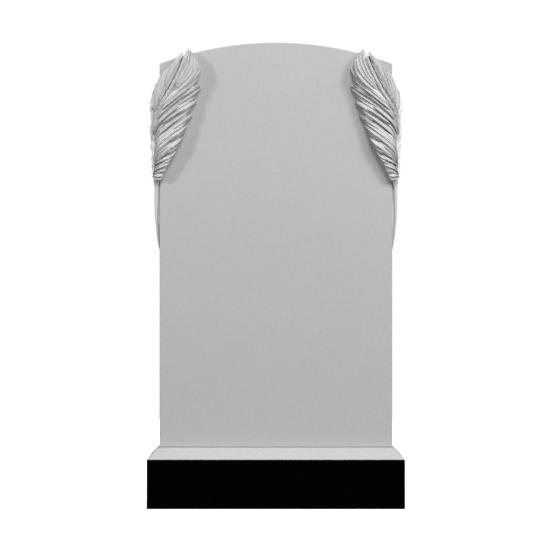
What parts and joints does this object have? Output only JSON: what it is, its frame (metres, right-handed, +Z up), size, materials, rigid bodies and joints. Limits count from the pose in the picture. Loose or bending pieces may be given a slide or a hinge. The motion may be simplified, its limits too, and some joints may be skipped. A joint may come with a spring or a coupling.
{
  "type": "headstone",
  "caption": "Upright granite headstone: an arched slab with a carved wing feather wrapped round each front corner, on a low plinth with chamfered top edges.",
  "frame": {"origin": "middle of the plinth's underside", "axes": "+X along the headstone's width, -Y out of the inscription face, +Z up"},
  "size_m": [0.6, 0.2, 1.0883],
  "materials": {
    "stele_granite": "honed light grey granite",
    "plinth_granite": "granite with polished dark upright faces and a honed light grey chamfer and top"
  },
  "bodies": {
    "root": {"stele": "stele_granite", "plinth": "plinth_granite"}
  },
  "joints": []
}
